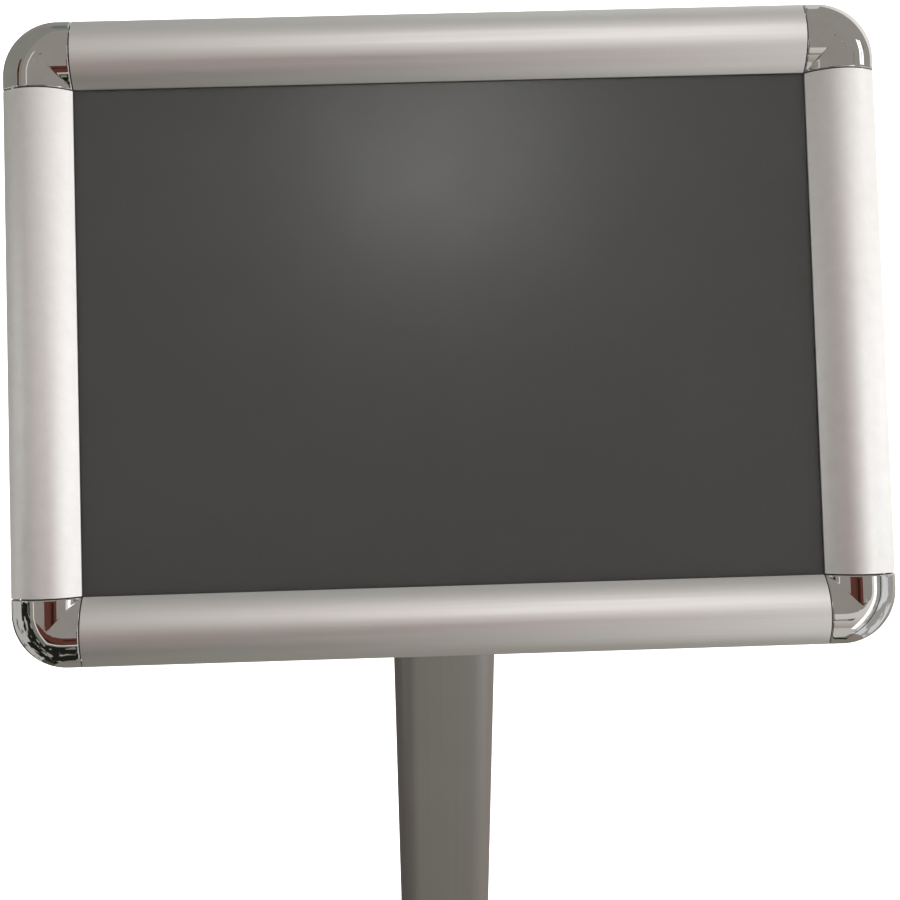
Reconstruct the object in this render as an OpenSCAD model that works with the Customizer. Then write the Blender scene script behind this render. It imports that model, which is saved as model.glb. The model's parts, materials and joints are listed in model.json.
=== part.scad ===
// Floor-standing sign holder. A snap frame for a printed sheet sits on a tilting and turning head,
// on a flat-oval aluminium post with a round steel base. Millimetres, +Z up. The origin is on the
// floor under the middle of the base, and the sign faces -Y.
//
// Sign pieces are drawn lying flat and placed by in_sign(): X is right, Y is up the sign and Z comes
// out of its face, with Z = 0 at the back of the rails. A profile section is drawn with X as the
// distance in from the frame's outer edge and Y as the height above the rails' back.

/* [Sheet] */
// Width of the printed sheet
sheet_w = 297; // [210:1:420]
// Height of the printed sheet
sheet_h = 210; // [160:1:297]
// Width of the sheet's edge that the covers hide
sheet_lap = 10; // [9:0.5:11.5]
// Thickness of the backing panel
panel_t = 1.4; // [1:0.1:1.8]
// Thickness of the clear cover sheet
clear_t = 0.8; // [0.5:0.1:1]
// Gap round the edge of the panel and the clear sheet
sheet_play = 0.3; // [0.2:0.1:0.5]

/* [Frame profile] */
// Width of the profile, from outer edge to opening
profile_w = 25.5; // [24:0.5:31]
// Height of the cover's outer edge above the back
edge_h = 6; // [5.8:0.1:7]
// Rise of the cover's arch over its chord
arch_rise = 4.8; // [4.5:0.1:6]
// Thickness of the cover's wall
cover_t = 1.2; // [1:0.05:1.25]
// Thickness of the lip at the cover's inner edge
lip_t = 0.75; // [0.5:0.05:1]
// Gap between the cover's lip and the clear sheet
lip_play = 0.25; // [0.15:0.05:0.4]
// Thickness of the rail's flat web
web_t = 1.2; // [1:0.1:1.4]
// Thickness of the rail's upright walls
rail_wall = 0.8; // [0.6:0.1:0.9]
// Clear height of the key channel
channel_h = 1.8; // [1.6:0.1:2]
// Radius of the hinge bead along the rail's outer edge
bead_r = 1.3; // [1.1:0.05:1.35]
// Running gap between the bead and the cover's socket
bead_play = 0.05; // [0.03:0.01:0.08]
// Wall of the cover's socket
socket_t = 0.65; // [0.5:0.05:0.7]
// How far a cover opens, in degrees
cover_open = 90; // [60:5:90]

/* [Corners] */
// Outer radius of the corner caps
corner_r = 20.5; // [16:0.5:24]
// Wall of the corner caps
cap_wall = 1.8; // [1.4:0.1:2]
// Gap between a cover's end and the corner cap
cover_gap = 0.4; // [0.2:0.1:0.8]
// Gap between a rail's end and the corner
rail_gap = 0.1; // [0.05:0.05:0.3]
// Length of a corner key's arm inside a rail
key_arm = 32; // [26:1:38]
// Gap between a corner key and the channel's walls
key_play = 0.1; // [0.05:0.05:0.2]
// Length of a leaf spring along its rail
spring_len = 16; // [10:1:20]
// Thickness of a leaf spring
spring_t = 0.4; // [0.3:0.05:0.5]

/* [Head] */
// Lean of the sign back from upright, in degrees
sign_tilt = 30; // [0:1:80]
// Height of the tilt bolt's centre above the floor
pivot_h = 1050; // [600:10:1500]
// Distance from the tilt bolt's centre to the back of the rails
head_reach = 32; // [32:1:45]
// Width of the strap across the back of the frame
strap_w = 60; // [54:1:80]
// Thickness of the strap
strap_t = 2; // [1.5:0.1:2.5]
// Radius of the turning joint's faces
swivel_r = 22; // [20:1:26]
// Thickness of the yoke's face plate
yoke_plate_t = 4; // [3:0.5:5]
// Thickness of the yoke's ears
ear_t = 5; // [4:0.5:6]
// Radius of the yoke's ears round the tilt bolt
ear_r = 12; // [11.5:0.5:13]
// Width of the knuckle that the ears straddle
knuckle_w = 22; // [20:1:26]
// Radius of the knuckle
knuckle_r = 10.5; // [9:0.5:11]
// Diameter of the tilt bolt and the swivel stud
pivot_d = 8; // [6:1:10]
// Running gap round the tilt bolt and the swivel stud
pivot_play = 0.08; // [0.05:0.01:0.1]
// Thickness of the friction washers
washer_t = 1; // [0.8:0.1:1.5]
// Radius of the hand knob
knob_r = 17; // [15:0.5:19]
// Length of the hand knob
knob_len = 18; // [14:1:24]

/* [Post] */
// Width of the flat-oval post, left to right
post_w = 48; // [46:1:60]
// Depth of the flat-oval post, front to back
post_d = 22; // [20:1:27]
// Wall of the post
post_wall = 1.8; // [1.4:0.1:2]
// Distance of a screw port from the post's middle
port_x = 17; // [17:0.5:17.5]
// Radius of the core hole of a screw port
port_r = 2.5; // [2.4:0.05:2.6]
// Thickness of the flange on the post's top
flange_t = 5; // [4:0.5:7]

/* [Base] */
// Diameter of the base plate
base_d = 320; // [260:5:400]
// Thickness of the base plate
base_t = 6; // [5:0.5:10]
// Diameter of a rubber foot
foot_d = 28; // [20:1:36]
// Distance of a rubber foot's centre in from the base's edge
foot_inset = 26; // [20:1:40]
// Height of a rubber foot
foot_h = 3; // [2:0.5:5]
// Height of the collar round the foot of the post
collar_h = 12; // [8:0.5:20]
// Width of the collar's skirt round the post
collar_w = 9; // [6:0.5:14]

/* [Hidden] */
$fn = 64;
SIDES = ["bottom", "right", "top", "left"];
CORNERS = ["bottom_left", "bottom_right", "top_right", "top_left"];

// Colours
alu = [0.80, 0.80, 0.80];
chrome = [0.72, 0.73, 0.75];
steel = [0.62, 0.63, 0.65];
panel_grey = [0.27, 0.26, 0.25];
rubber = [0.08, 0.08, 0.08];
black = [0.12, 0.12, 0.13];
brass = [0.76, 0.63, 0.34];

// Overlap that makes a cut go right through, or a union solid
eps = 0.5;

// Segments of a full turn on the arch, and on the corner caps' mesh
arch_smooth = 256;
cap_smooth = 144;

// How far the caps' inner arches stand above their outer form
crest_lift = 0.02;

// Sheet, opening and frame
opening_w = sheet_w - 2 * sheet_lap;
opening_h = sheet_h - 2 * sheet_lap;
frame_w = opening_w + 2 * profile_w;
frame_h = opening_h + 2 * profile_w;
panel_w = sheet_w - 2 * sheet_play;
panel_h = sheet_h - 2 * sheet_play;
clear_top = web_t + panel_t + clear_t;
lip_low = clear_top + lip_play;
lip_h = lip_low + lip_t;

// The cover's arch is one arc from its outer edge to its inner lip
chord = norm([profile_w, edge_h - lip_h]);
arch_r = chord * chord / (8 * arch_rise) + arch_rise / 2;
arch_up = [edge_h - lip_h, profile_w] / chord;
arch_c = [profile_w, edge_h + lip_h] / 2 - (arch_r - arch_rise) * arch_up;
crest_n = arch_c[1] + arch_r;

// Hinge of a cover: the bead's centre in the section, and the arc that the socket leaves open
socket_r = bead_r + bead_play + socket_t;
hinge_drop = 1.8;
hinge_c = [socket_r, edge_h - hinge_drop];
stem_t = 1;
stem_half = asin(stem_t / 2 / bead_r);
stop_angle = 8;
mouth_from = 270 - cover_open - stem_half - stop_angle;
mouth_to = 270 + stem_half + stop_angle;
mouth_r = 5;

// Channel of a rail, between a fixed outer wall and the wall that stops the panel's edge
socket_gap = 0.4;
channel_d0 = 2 * socket_r + socket_gap + rail_wall;
channel_d1 = profile_w - sheet_lap - sheet_play - rail_wall;
channel_mid = (channel_d0 + channel_d1) / 2;
channel_top = web_t + channel_h + rail_wall;
channel_lip = 1.5;
rail_inset = 0.3;
key_w = channel_d1 - channel_d0 - 2 * key_play;
key_t = channel_h - 2 * key_play;
key_z = web_t + key_play;
key_top = key_z + key_t;
grub_inset = 8;
grub_d = profile_w + key_arm - grub_inset;
cap_play = 0.2;

// Spring rib under a cover, and the springs
rib_t = 0.8;
rib_d = channel_d0 + rail_wall;
rib_gap = 0.8;
rib_low = channel_top + rib_gap;
spring_play = 0.35;

// Fasteners
m3_r = 1.5;
m4_r = 2;
m6_r = 3;
thread_play = 0.05;
hole_play = 0.15;
cap_screw_head = [2.8, 1.2];
cap_screw_sink = 0.1;
cap_screw_len = edge_h - 0.4;
strap_screw_head = [3.8, 2.4];
strap_screw_x = strap_w / 3;
strap_nut_len = 12;
boss_r = 3.2;
grub_len = 3;

// Head. Hexagons are in proportion to the thread, and heights run along the sign's Z.
pivot_r = pivot_d / 2;
hex_af = 1.625 * pivot_d;
nut_t = 0.8 * pivot_d;
bolt_head_t = 0.66 * pivot_d;
stud_tip = 2;
stud_flange = [8, 1];
strap_z = -strap_t;
swivel_z = strap_z - washer_t;
yoke_z = swivel_z - yoke_plate_t;
disc_spring_t = 1.6;
nut_z = yoke_z - disc_spring_t - nut_t;
ear_x = knuckle_w / 2 + washer_t;
ear_out = ear_x + ear_t;
knob_x = ear_out + washer_t;
hex_collar = 3;
bolt_in_knob = 12.6;
bolt_end = knob_x + bolt_in_knob;
insert_r = pivot_r + 2;
insert_len = bolt_in_knob + 1;

// Post and post head. The knob and the yoke's ears turn clear of the flange.
head_gap = 2.5;
knuckle_drop = max(ear_r, knob_r) + head_gap;
flange_z = pivot_h - knuckle_drop - flange_t;
knuckle_d = 16;
plug_len = 20;
plug_play = 0.15;
port_wall = 2.1;
port_web = 2;
port_screw_head = [5.6, 3.2];
sink_play = [0.3, 0.2];
head_screw_len = 30;
base_screw_len = 40;
post_z = foot_h + base_t;
foot_circle = base_d / 2 - foot_inset;
base_edge = 2.5;

// --- Placing ---

module in_sign() {
    translate([0, 0, pivot_h]) rotate([90 - sign_tilt, 0, 0]) translate([0, 0, head_reach]) children();
}

// Puts a bar drawn along the bottom edge onto side i: 0 bottom, 1 right, 2 top, 3 left
module on_side(i) {
    rotate(90 * i) translate([0, -(i % 2 == 0 ? frame_h : frame_w) / 2, 0]) children();
}

// Puts a piece drawn at the bottom left corner, outer corner at the origin, onto corner i
module at_corner(i) {
    x = i == 0 || i == 3 ? -1 : 1;
    y = i < 2 ? -1 : 1;
    translate([x * frame_w / 2, y * frame_h / 2, 0]) rotate(90 * i) children();
}

// Extrudes a profile section along X, centred
module bar(len) {
    rotate([90, 0, 90]) linear_extrude(len, center = true) children();
}

// A cylinder along X, from x0 to x1
module rod_x(x0, x1, r) {
    translate([x0, 0, 0]) rotate([0, 90, 0]) cylinder(h = x1 - x0, r = r);
}

function side_opening(i) = i % 2 == 0 ? opening_w : opening_h;
function spring_x(i) = (side_opening(i) / 2 - key_arm) / 2;

// --- Shared shapes ---

module oval(w, d) {
    square([w - d, d], center = true);
    for (x = [-1, 1]) translate([x * (w - d) / 2, 0]) circle(d = d);
}

module ring(h, r, r_in) {
    difference() {
        cylinder(h = h, r = r);
        translate([0, 0, -eps]) cylinder(h = h + 2 * eps, r = r_in);
    }
}

module hex_prism(h, af) {
    cylinder(h = h, d = af / cos(30), $fn = 6);
}

// Countersunk screw: the head's flat top is at z = 0 and the shank goes down
module countersunk(len, shank_r, head) {
    translate([0, 0, -head[1]]) cylinder(h = head[1], r1 = shank_r, r2 = head[0]);
    translate([0, 0, -len]) cylinder(h = len, r = shank_r);
}

// --- Base and post ---

module base_plate() {
    r = base_d / 2;
    color(steel) difference() {
        translate([0, 0, foot_h]) rotate_extrude($fn = 128) {
            square([r - base_edge, base_t]);
            square([r, base_t - base_edge]);
            translate([r - base_edge, base_t - base_edge]) intersection() {
                circle(base_edge);
                square(base_edge);
            }
        }
        for (x = [-1, 1]) translate([x * port_x, 0, foot_h]) mirror([0, 0, 1]) {
            countersunk(base_t + eps, m6_r + hole_play, port_screw_head + sink_play);
        }
    }
}

module rubber_foot(i) {
    bevel = foot_h / 3;
    r = foot_d / 2;
    color(rubber) rotate(90 * i - 45) translate([foot_circle, 0, 0]) rotate_extrude()
        polygon([[0, 0], [r - bevel, 0], [r, bevel], [r, foot_h], [0, foot_h]]);
}

module base_screws() {
    color(steel) for (x = [-1, 1]) translate([x * port_x, 0, foot_h + sink_play[1]]) mirror([0, 0, 1])
        countersunk(base_screw_len, port_r - thread_play, port_screw_head);
}

// Skirt round the post: a quarter-round section swept round the oval
module collar_section() {
    round_h = 0.6 * collar_w;
    translate([post_d / 2 + plug_play, 0]) intersection() {
        square([collar_w, collar_h]);
        union() {
            square([collar_w, collar_h - round_h]);
            translate([0, collar_h - collar_w]) circle(collar_w);
        }
    }
}

module foot_collar() {
    straight = post_w - post_d;
    color(black) translate([0, 0, post_z]) {
        for (s = [0, 1]) rotate(180 * s) {
            translate([straight / 2, 0, 0]) rotate(-90) rotate_extrude(angle = 180)
                collar_section();
            rotate([90, 0, 90]) linear_extrude(straight, center = true) collar_section();
        }
    }
}

module post_section() {
    inner_d = post_d - 2 * post_wall;
    difference() {
        oval(post_w, post_d);
        difference() {
            oval(post_w - 2 * post_wall, inner_d);
            for (x = [-1, 1]) translate([x * port_x, 0]) {
                square([port_web, post_d], center = true);
                circle(port_r + port_wall);
            }
        }
        for (x = [-1, 1]) translate([x * port_x, 0]) circle(port_r);
    }
}

module post() {
    color(alu) translate([0, 0, post_z]) linear_extrude(flange_z - post_z) post_section();
}

// Die-cast head on the post: flange, plug that locates it in the post, and the tilt knuckle
module post_head() {
    plug_w = 2 * (port_x - port_r - port_wall - plug_play);
    color(alu) difference() {
        union() {
            translate([0, 0, flange_z]) linear_extrude(flange_t) oval(post_w, post_d);
            translate([-plug_w / 2, -post_d / 2 + post_wall + plug_play, flange_z - plug_len])
                cube([plug_w, post_d - 2 * (post_wall + plug_play), plug_len + eps]);
            translate([-knuckle_w / 2, -knuckle_d / 2, flange_z])
                cube([knuckle_w, knuckle_d, pivot_h - flange_z]);
            translate([0, 0, pivot_h]) rod_x(-knuckle_w / 2, knuckle_w / 2, knuckle_r);
        }
        translate([0, 0, pivot_h]) rod_x(-knuckle_w, knuckle_w, pivot_r + pivot_play);
        for (x = [-1, 1]) translate([x * port_x, 0, flange_z + flange_t])
            countersunk(flange_t + eps, m6_r + hole_play, port_screw_head + sink_play);
    }
}

module post_head_screws() {
    color(steel) for (x = [-1, 1]) translate([x * port_x, 0, flange_z + flange_t])
        countersunk(head_screw_len, port_r - thread_play, port_screw_head);
}

// --- Tilting and turning head, drawn in the sign's frame with the tilt bolt along X ---

module at_pivot() {
    in_sign() translate([0, 0, -head_reach]) children();
}

module tilt_bolt() {
    color(steel) at_pivot() {
        rod_x(-ear_out, bolt_end, pivot_r);
        translate([-ear_out - bolt_head_t, 0, 0]) rotate([0, 90, 0]) hex_prism(bolt_head_t, hex_af);
    }
}

module tilt_washer(x) {
    color(black) at_pivot() translate([x, 0, 0]) rotate([0, 90, 0])
        ring(washer_t, knuckle_r - 1, pivot_r + hole_play);
}

module knob_washer() {
    color(steel) at_pivot() translate([ear_out, 0, 0]) rotate([0, 90, 0])
        ring(washer_t, knuckle_r - 1.5, pivot_r + hole_play);
}

module clamp_knob() {
    lobes = 6;
    scallop_r = 0.42 * knob_r;
    scallop_d = knob_r + 0.6 * scallop_r;
    edge = 2.5;
    hub_r = insert_r + 3;
    hub_len = 4;
    grip_len = knob_len - hub_len;
    color(black) at_pivot() translate([knob_x, 0, 0]) rotate([0, 90, 0]) difference() {
        union() {
            cylinder(h = hub_len + eps, r = hub_r);
            translate([0, 0, hub_len]) rotate_extrude() {
                square([knob_r - edge, grip_len]);
                translate([0, edge]) square([knob_r, grip_len - 2 * edge]);
                for (z = [edge, grip_len - edge]) translate([knob_r - edge, z]) circle(edge);
            }
        }
        for (i = [1:lobes]) rotate(360 / lobes * i) translate([scallop_d, 0, hub_len - eps])
            cylinder(h = knob_len, r = scallop_r);
        translate([0, 0, -eps]) cylinder(h = insert_len + eps, r = insert_r);
    }
}

module knob_insert() {
    color(brass) at_pivot() translate([knob_x, 0, 0]) rotate([0, 90, 0])
        ring(insert_len, insert_r, pivot_r + pivot_play);
}

module yoke() {
    color(black) in_sign() difference() {
        union() {
            translate([0, 0, yoke_z]) cylinder(h = yoke_plate_t, r = swivel_r);
            for (x = [-ear_out, ear_x]) translate([x, 0, -head_reach]) rotate([90, 0, 90])
                linear_extrude(ear_t) {
                    circle(ear_r);
                    translate([-ear_r, 0])
                        square([2 * ear_r, head_reach + yoke_z + yoke_plate_t / 2]);
                }
            translate([0, 0, -head_reach]) rod_x(-ear_out - hex_collar, -ear_out + eps, ear_r - 1);
        }
        translate([0, 0, yoke_z - eps]) cylinder(h = yoke_plate_t + 2 * eps, r = pivot_r + pivot_play);
        translate([0, 0, -head_reach]) {
            rod_x(-ear_out - eps, ear_out + eps, pivot_r + pivot_play);
            translate([-ear_out - 2 * hex_collar, 0, 0]) rotate([0, 90, 0])
                hex_prism(2 * hex_collar, hex_af + 2 * hole_play);
        }
    }
}

module swivel_washer() {
    color(black) in_sign() translate([0, 0, swivel_z]) ring(washer_t, swivel_r - 1, pivot_r + hole_play);
}

module swivel_stud() {
    stud_end = nut_z - stud_tip;
    color(steel) in_sign() {
        cylinder(h = stud_flange[1], r = stud_flange[0]);
        translate([0, 0, stud_end]) cylinder(h = -stud_end + stud_flange[1], r = pivot_r);
    }
}

// Conical disc spring between the yoke's plate and the nut
module swivel_spring() {
    r0 = pivot_r + hole_play;
    r1 = 2 * pivot_r + 0.5;
    t = disc_spring_t / 2;
    color(steel) in_sign() translate([0, 0, yoke_z]) rotate_extrude()
        polygon([[r0, -2 * t], [r1, -t], [r1, 0], [r0, -t]]);
}

module swivel_nut() {
    color(steel) in_sign() translate([0, 0, nut_z]) difference() {
        hex_prism(nut_t, hex_af);
        translate([0, 0, -eps]) cylinder(h = nut_t + 2 * eps, r = pivot_r + thread_play);
    }
}

// --- Frame fixings ---

module at_strap_screws() {
    for (x = [-1, 1], y = [-1, 1])
        translate([x * strap_screw_x, y * (frame_h / 2 - channel_mid), 0]) children();
}

module back_strap() {
    strap_h = frame_h - 2 * (channel_d0 - rail_wall);
    trim = 8;
    x = strap_w / 2;
    y = strap_h / 2;
    color(steel) in_sign() translate([0, 0, strap_z]) difference() {
        linear_extrude(strap_t) polygon([
            [-x + trim, -y], [x - trim, -y], [x, -y + trim], [x, y - trim],
            [x - trim, y], [-x + trim, y], [-x, y - trim], [-x, -y + trim]
        ]);
        translate([0, 0, -eps]) cylinder(h = strap_t + 2 * eps, r = pivot_r + thread_play);
        at_strap_screws() translate([0, 0, -eps]) cylinder(h = strap_t + 2 * eps, r = m4_r + hole_play);
    }
}

module strap_screws() {
    head = strap_screw_head;
    color(steel) in_sign() at_strap_screws() translate([0, 0, strap_z]) {
        translate([0, 0, -head[1]]) cylinder(h = head[1], r = head[0]);
        cylinder(h = strap_t + web_t + key_t, r = m4_r - thread_play);
    }
}

module strap_nuts() {
    color(steel) in_sign() at_strap_screws() translate([0, 0, web_t]) difference() {
        translate([-strap_nut_len / 2, -key_w / 2, 0]) cube([strap_nut_len, key_w, key_t]);
        translate([0, 0, -eps]) cylinder(h = key_t + 2 * eps, r = m4_r);
    }
}

// --- Rails, covers and springs ---

module rail_section() {
    translate([rail_inset, 0]) square([profile_w - 2 * rail_inset, web_t]);
    translate([hinge_c[0] - stem_t / 2, 0]) square([stem_t, hinge_c[1]]);
    translate(hinge_c) circle(bead_r);
    translate([channel_d0 - rail_wall, 0]) square([rail_wall, channel_top]);
    translate([channel_d1, 0]) square([rail_wall, channel_top]);
    for (d = [channel_d0 - rail_wall, channel_d1 - channel_lip])
        translate([d, channel_top - rail_wall]) square([rail_wall + channel_lip, rail_wall]);
}

module rail(i) {
    strapped = i % 2 == 0;
    color(alu) in_sign() on_side(i) difference() {
        bar(side_opening(i) - 2 * rail_gap) rail_section();
        if (strapped) for (x = [-1, 1]) translate([x * strap_screw_x, channel_mid, -eps])
            cylinder(h = web_t + 2 * eps, r = m4_r + hole_play);
    }
}

module arch_disc(inset, smooth = arch_smooth) {
    translate(arch_c) circle(arch_r - inset, $fn = smooth);
}

// Pie slice round the hinge that the socket leaves open
module socket_mouth() {
    steps = 4;
    translate(hinge_c) polygon([
        [0, 0],
        for (k = [0:steps]) let (a = mouth_from + (mouth_to - mouth_from) * k / steps)
            mouth_r * [cos(a), sin(a)]
    ]);
}

module cover_section() {
    difference() {
        union() {
            intersection() {
                difference() {
                    arch_disc(0);
                    arch_disc(cover_t);
                }
                translate([0, lip_low]) square([profile_w, crest_n]);
            }
            intersection() {
                arch_disc(cover_t / 2);
                translate([rib_d, rib_low]) square([rib_t, crest_n]);
            }
            intersection() {
                translate(hinge_c) circle(socket_r);
                arch_disc(0);
            }
        }
        translate(hinge_c) circle(bead_r + bead_play);
        socket_mouth();
    }
}

module cover(i) {
    color(alu) in_sign() on_side(i) bar(side_opening(i) - 2 * cover_gap) cover_section();
}

// A strip of the given thickness along a bent path, square at both ends
function unit(v) = v / norm(v);
function left_of(v) = [-v[1], v[0]];
function path_normal(p, k) =
    let (a = k == 0 ? unit(p[1] - p[0]) : unit(p[k] - p[k - 1]),
         b = k == len(p) - 1 ? a : unit(p[k + 1] - p[k]),
         n = unit(left_of(a) + left_of(b)))
    n / (n * left_of(a));
function strip(p, t) = concat(
    [for (k = [0:len(p) - 1]) p[k] + path_normal(p, k) * t / 2],
    [for (k = [len(p) - 1:-1:0]) p[k] - path_normal(p, k) * t / 2]
);

// Bent leaf: its foot lies under the channel's lips and its finger bears towards the cover's rib
module spring_section() {
    foot_z = web_t + spring_t / 2;
    finger_d = rib_d + rib_t + spring_play + spring_t / 2;
    heel = [1.6, 0.9];
    bend = 0.4;
    tip = [0.6, 1.6];
    polygon(strip([
        [channel_d1 - key_play, foot_z],
        [finger_d + heel[0], foot_z],
        [finger_d + bend, foot_z + heel[1]],
        [finger_d, rib_low + tip[0]],
        [finger_d + tip[0], rib_low + tip[1]]
    ], spring_t));
}

module leaf_spring(i, k) {
    color(steel) in_sign() on_side(i) translate([(k == 1 ? -1 : 1) * spring_x(i), 0, 0])
        bar(spring_len) spring_section();
}

// --- Corners ---

// The cap outside the arch's crest: full height inwards of the crest
module outer_half(inset) {
    intersection() {
        union() {
            arch_disc(inset, cap_smooth);
            translate([arch_c[0], 0]) square([profile_w, crest_n - inset]);
        }
        translate([inset, 0]) square([2 * profile_w, crest_n]);
    }
}

// The cap inside the arch's crest: full height outwards of the crest, and raised by lift
module inner_half(lift) {
    intersection() {
        union() {
            translate([0, lift]) arch_disc(0, cap_smooth);
            translate([-eps, -eps]) square([arch_c[0] + eps, crest_n + lift + eps]);
        }
        translate([-eps, -eps]) square([profile_w + 2 * eps, crest_n + lift + eps]);
    }
}

// Does a piece along both edges of a corner
module both_ways() {
    for (turn = [0, 1]) mirror([turn, -turn, 0]) children();
}

// Extrudes a section whose X is the distance from one outer edge, along the other edge
module along_edge(from, to) {
    translate([(from + to) / 2, 0, 0]) bar(to - from) children();
}

// Outer form: the arch turned round the corner's centre, and run straight past the corner's ends
module cap_outer(inset) {
    translate([corner_r, corner_r, 0]) rotate(180)
        rotate_extrude(angle = 90, $fn = cap_smooth / 2) intersection() {
            translate([corner_r, 0]) mirror([1, 0]) outer_half(inset);
            square([corner_r, crest_n]);
        }
    both_ways() along_edge(corner_r, profile_w + 3 * eps) outer_half(inset);
}

// Inner form: two arches that meet in a valley from the inner corner. They stand crest_lift higher
// than the outer form, so that the two cross beyond the crest. The crossing is made as one mesh.
// Where the forms would share a plane, one of them goes past it.
module cap_form() {
    intersection() {
        resize([0, 0, 0]) intersection() {
            union() cap_outer(0);
            both_ways() along_edge(-eps, profile_w + 2 * eps) inner_half(crest_lift);
        }
        translate([-eps, -eps, -eps]) cube([profile_w + eps, profile_w + eps, crest_n + 2 * eps]);
    }
}

// Outline of the corner seen from the front, that far in from its outer edges
module corner_outline(inset, size) {
    intersection() {
        translate([inset, inset]) square(size - inset);
        union() {
            translate([corner_r, corner_r]) circle(corner_r - inset);
            translate([corner_r, 0]) square(size);
            translate([0, corner_r]) square(size);
        }
    }
}

module corner_cap(i) {
    end_wall = 1.2;
    sheet_edge = profile_w - sheet_lap - sheet_play;
    key_room = [channel_d0 - key_play, channel_d1 + key_play];
    hollow = [profile_w - end_wall, sheet_edge - cap_wall, crest_n];
    color(chrome) in_sign() at_corner(i) difference() {
        cap_form();
        difference() {
            intersection() {
                translate([0, 0, -eps]) union() cap_outer(cap_wall);
                translate([0, 0, -2 * eps]) both_ways() cube(hollow);
            }
            translate([channel_mid, channel_mid, key_top + key_play])
                cylinder(h = crest_n, r = boss_r);
        }
        // Open towards the key's plate, the sheet's corner and the key's arms
        translate([0, 0, -eps]) linear_extrude(web_t + key_play + eps)
            corner_outline(cap_wall, profile_w + eps);
        translate([sheet_edge, sheet_edge, -eps]) cube([profile_w, profile_w, lip_low + eps]);
        both_ways() translate([key_room[0], key_room[0], -eps])
            cube([profile_w, key_room[1] - key_room[0], key_top + key_play + eps]);
        translate([channel_mid, channel_mid, -eps]) cylinder(h = edge_h + eps, r = m3_r);
    }
}

// Plate that closes the corner's back, with an arm into the channel of each rail
module corner_key(i) {
    size = profile_w - rail_gap;
    arm_from = channel_d0 + key_play;
    color(black) in_sign() at_corner(i) difference() {
        union() {
            linear_extrude(web_t) corner_outline(cap_wall + cap_play, size);
            both_ways() translate([arm_from, arm_from, 0])
                cube([profile_w + key_arm - arm_from, key_w, key_top]);
        }
        // The arms stand clear of the rails' webs
        both_ways() {
            translate([size, 0, -eps]) cube([key_arm + eps, profile_w, key_z + eps]);
            translate([grub_d, channel_mid, 0]) cylinder(h = channel_top, r = m4_r);
        }
        translate([channel_mid, channel_mid, -eps]) {
            cylinder(h = channel_top, r = m3_r + hole_play);
            cylinder(h = cap_screw_sink + cap_screw_head[1] + eps,
                r = cap_screw_head[0] + hole_play);
        }
    }
}

module key_grub_screws() {
    socket_af = 2;
    color(steel) in_sign() for (i = [0:3]) at_corner(i) both_ways()
        translate([grub_d, channel_mid, web_t]) difference() {
            cylinder(h = grub_len, r = m4_r - thread_play);
            translate([0, 0, grub_len / 2]) hex_prism(grub_len, socket_af);
        }
}

module cap_screws() {
    color(steel) in_sign() for (i = [0:3]) at_corner(i)
        translate([channel_mid, channel_mid, cap_screw_sink]) {
            cylinder(h = cap_screw_head[1], r = cap_screw_head[0]);
            cylinder(h = cap_screw_len, r = m3_r - thread_play);
        }
}

// --- Panel and clear sheet ---

module back_panel() {
    color(panel_grey) in_sign() translate([-panel_w / 2, -panel_h / 2, web_t])
        cube([panel_w, panel_h, panel_t]);
}

module clear_sheet() {
    color(panel_grey, 0.3) in_sign() translate([-panel_w / 2, -panel_h / 2, web_t + panel_t])
        cube([panel_w, panel_h, clear_t]);
}

// --- Nodes ---

base_plate();
for (i = [1:4]) rubber_foot(i);
base_screws();
foot_collar();
post();
post_head();
post_head_screws();
tilt_bolt();
tilt_washer(-ear_x);  // tilt_washer_left
tilt_washer(ear_x - washer_t);  // tilt_washer_right
knob_washer();
clamp_knob();
knob_insert();
yoke();
swivel_washer();
swivel_stud();
swivel_spring();
swivel_nut();
back_strap();
strap_screws();
strap_nuts();
for (i = [0:3]) rail(i);
for (i = [0:3]) cover(i);
for (i = [0:3], k = [1, 2])
    leaf_spring(i, k);
for (i = [0:3]) corner_key(i);
for (i = [0:3]) corner_cap(i);
key_grub_screws();
cap_screws();
back_panel();
clear_sheet();
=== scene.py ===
"""Looks of the sign stand: fine corner caps, rounded edges and a finish for every part.

Everything is in metres. The CAD gives the places: the sign's own directions come from the
joint that turns it, and each new piece is sized from the CAD node that it replaces.
"""

import json
import math

import bmesh
import bpy
from mathutils import Matrix, Vector


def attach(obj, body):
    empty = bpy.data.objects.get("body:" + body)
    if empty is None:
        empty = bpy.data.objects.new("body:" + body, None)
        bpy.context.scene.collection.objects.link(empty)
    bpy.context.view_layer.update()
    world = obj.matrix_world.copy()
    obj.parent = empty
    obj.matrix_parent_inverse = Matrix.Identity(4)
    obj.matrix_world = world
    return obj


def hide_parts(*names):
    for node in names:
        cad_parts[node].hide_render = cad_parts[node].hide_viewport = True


MM = 0.001

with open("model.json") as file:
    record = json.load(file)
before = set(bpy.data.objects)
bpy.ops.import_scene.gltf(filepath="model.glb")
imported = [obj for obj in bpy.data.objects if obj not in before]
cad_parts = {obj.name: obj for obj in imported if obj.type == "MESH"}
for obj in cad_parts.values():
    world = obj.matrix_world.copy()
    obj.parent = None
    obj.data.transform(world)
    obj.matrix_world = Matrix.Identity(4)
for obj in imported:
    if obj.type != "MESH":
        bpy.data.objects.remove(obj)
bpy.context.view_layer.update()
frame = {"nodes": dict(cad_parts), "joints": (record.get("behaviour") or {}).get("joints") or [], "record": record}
nodes = frame["nodes"]
joints = {joint["name"]: joint for joint in frame["joints"]}

# The sign's own directions: across it, up it, and out of its face
RIGHT = Vector((1, 0, 0))
OUT = Vector(joints["sign_turn"]["axis"]).normalized()
UP = OUT.cross(RIGHT)
SIGN = Matrix((RIGHT, UP, OUT)).transposed()
SIGN_TILT = math.atan2(OUT.z, -OUT.y)

CORNERS = ("bottom_left", "bottom_right", "top_right", "top_left")


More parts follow.
